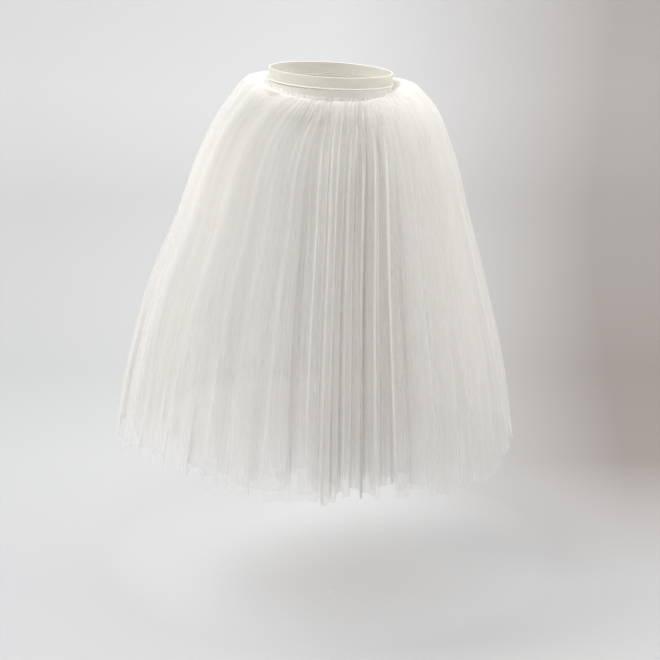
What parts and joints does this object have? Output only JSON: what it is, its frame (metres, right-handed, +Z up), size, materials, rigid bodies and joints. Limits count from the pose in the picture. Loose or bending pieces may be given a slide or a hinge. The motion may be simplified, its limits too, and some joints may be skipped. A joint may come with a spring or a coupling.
{
  "type": "romantic ballet tutu",
  "caption": "Long, soft ballet skirt: gathered layers of sheer ivory tulle stitched round a fitted yoke under an elastic waistband, open at the waist and the hem",
  "frame": {"origin": "the middle of the waist opening, at half the waistband's height, where the wearer's waist holds the skirt", "axes": "+Z up the wearer's body, -Y the side the camera sees, +X to the right as seen from there"},
  "size_m": [0.7639, 0.7054, 0.7208],
  "materials": {
    "soft_tulle": "soft ivory tulle, a fine sheer net with raw cut edges",
    "firm_net": "close, firm ivory net that the layers are sewn on",
    "elastic": "smooth woven ivory elastic with a stitched lower edge"
  },
  "bodies": {
    "root": {"waistband": "elastic", "yoke": "firm_net", "skirt_outer": "soft_tulle", "skirt_second": "soft_tulle", "skirt_third": "soft_tulle", "skirt_inner": "soft_tulle"}
  },
  "joints": []
}
